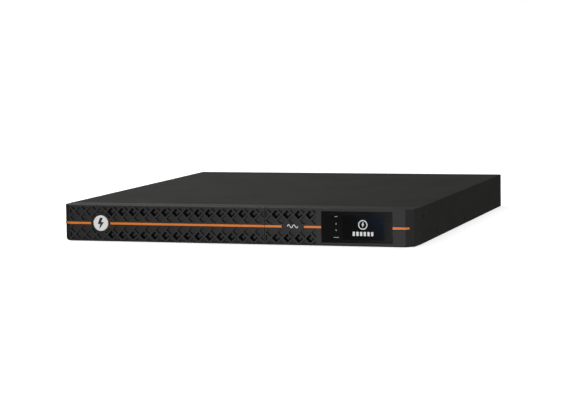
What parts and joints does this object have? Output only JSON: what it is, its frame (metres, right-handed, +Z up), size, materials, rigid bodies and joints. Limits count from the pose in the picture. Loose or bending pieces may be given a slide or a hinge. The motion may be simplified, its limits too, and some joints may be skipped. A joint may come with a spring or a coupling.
{
  "type": "uninterruptible power supply",
  "caption": "Low rack-mount uninterruptible power supply with a rib-lattice front, a pull-off battery cover over a sliding battery tray, a display with keys, and rear outlets and fans.",
  "frame": {"origin": "middle of the bottom face of the case", "axes": "+X to the right seen from the front, +Y from the face to the rear, +Z up"},
  "size_m": [0.438, 0.5068, 0.0435],
  "materials": {
    "cover_paint": "satin black-grey powder coat",
    "zinc_steel": "zinc-plated sheet",
    "screw_black": "blackened",
    "screw_zinc": "zinc-plated",
    "bezel_plastic": "fine moulded texture",
    "baffle_steel": "satin",
    "stripe_orange": "satin",
    "badge_white": "gloss",
    "lens_black": "gloss",
    "window_tint": "gloss tinted",
    "lcd": "glass face in a metal frame",
    "key_black": "gloss",
    "board_green": "solder resist",
    "nylon": "natural",
    "switch_black": "moulded",
    "core_steel": "varnished laminations",
    "winding_tape": "wrapped in tape",
    "sink_aluminium": "extruded",
    "package_black": "moulded",
    "capacitor_sleeve": "shrunk sleeve",
    "socket_black": "moulded",
    "nickel": "nickel-plated",
    "breaker_black": "moulded",
    "button_black": "moulded",
    "terminal_green": "moulded",
    "battery_case": "moulded",
    "copper": "bright",
    "connector_grey": "moulded",
    "fan_black": "moulded"
  },
  "bodies": {
    "chassis": {"base_pan": "zinc_steel", "top_cover": "cover_paint", "cover_screws": "screw_black", "front_plate": "zinc_steel", "rear_panel": "cover_paint", "pan_screws": "screw_zinc", "bay_wall": "zinc_steel", "tray_guides": "nylon", "bay_connector": "connector_grey", "display_bezel": "bezel_plastic", "vent_baffle": "baffle_steel", "stripe_seam_side": "stripe_orange", "stripe_panel_side": "stripe_orange", "stripe_corner_right": "stripe_orange", "display_lens": "lens_black", "display_window": "window_tint", "lcd_module": "lcd", "display_board": "board_green", "key_switches": "switch_black", "main_board": "board_green", "standoffs": "screw_zinc", "transformer_core": "core_steel", "transformer_winding": "winding_tape", "heat_sink": "sink_aluminium", "power_transistors": "package_black", "capacitors": "capacitor_sleeve", "mains_inlet": "socket_black", "inlet_pins": "nickel", "outlet_bank": "socket_black", "breaker_body": "breaker_black", "data_port": "nickel", "serial_port": "nickel", "switch_terminal": "terminal_green", "card_slot_cover": "cover_paint", "earth_stud": "screw_zinc", "fan_frame_left": "fan_black", "fan_frame_right": "fan_black"},
    "battery_door": {"door_bezel": "bezel_plastic", "door_stripe_corner": "stripe_orange", "door_stripe_main": "stripe_orange", "badge": "badge_white", "door_baffle": "baffle_steel", "door_pegs": "nylon"},
    "battery_tray": {"tray_pan": "zinc_steel", "tray_handle": "screw_black", "battery_1": "battery_case", "battery_2": "battery_case", "battery_3": "battery_case", "battery_4": "battery_case", "battery_links": "copper", "tray_connector": "connector_grey"},
    "thumbscrew_left": {"thumbscrew_left": "nickel"},
    "thumbscrew_right": {"thumbscrew_right": "nickel"},
    "key_power": {"key_power": "key_black"},
    "key_up": {"key_up": "key_black"},
    "key_down": {"key_down": "key_black"},
    "key_enter": {"key_enter": "key_black"},
    "breaker_button": {"breaker_button": "button_black"},
    "fan_rotor_left": {"fan_rotor_left": "fan_black"},
    "fan_rotor_right": {"fan_rotor_right": "fan_black"}
  },
  "joints": [
    {"name": "door_pull", "type": "slide", "parent": "chassis", "child": "battery_door", "axis": [0, -1, 0], "range_m": [0, 0.4]},
    {"name": "tray_slide", "type": "slide", "parent": "chassis", "child": "battery_tray", "axis": [0, -1, 0], "range_m": [0, 0.3]},
    {"name": "thumbscrew_left_turn", "type": "hinge", "parent": "battery_tray", "child": "thumbscrew_left", "pos_m": [-0.2077, -0.214, 0.02175], "axis": [0, 1, 0], "continuous": true},
    {"name": "thumbscrew_right_turn", "type": "hinge", "parent": "battery_tray", "child": "thumbscrew_right", "pos_m": [0.0277, -0.214, 0.02175], "axis": [0, 1, 0], "continuous": true},
    {"name": "key_power_press", "type": "slide", "parent": "chassis", "child": "key_power", "axis": [0, 1, 0], "range_m": [0, 0.0004], "stiffness_N_per_m": 1500},
    {"name": "key_up_press", "type": "slide", "parent": "chassis", "child": "key_up", "axis": [0, 1, 0], "range_m": [0, 0.0004], "stiffness_N_per_m": 1500},
    {"name": "key_down_press", "type": "slide", "parent": "chassis", "child": "key_down", "axis": [0, 1, 0], "range_m": [0, 0.0004], "stiffness_N_per_m": 1500},
    {"name": "key_enter_press", "type": "slide", "parent": "chassis", "child": "key_enter", "axis": [0, 1, 0], "range_m": [0, 0.0004], "stiffness_N_per_m": 1500},
    {"name": "breaker_pop", "type": "slide", "parent": "chassis", "child": "breaker_button", "axis": [0, 1, 0], "range_m": [0, 0.004]},
    {"name": "fan_left_spin", "type": "hinge", "parent": "chassis", "child": "fan_rotor_left", "pos_m": [-0.192, 0.235, 0.02175], "axis": [0, 1, 0], "continuous": true},
    {"name": "fan_right_spin", "type": "hinge", "parent": "chassis", "child": "fan_rotor_right", "pos_m": [-0.148, 0.235, 0.02175], "axis": [0, 1, 0], "continuous": true}
  ],
  "couplings": [
    {"joint": "tray_slide", "follows": "door_pull", "ratio": 0.75}
  ]
}
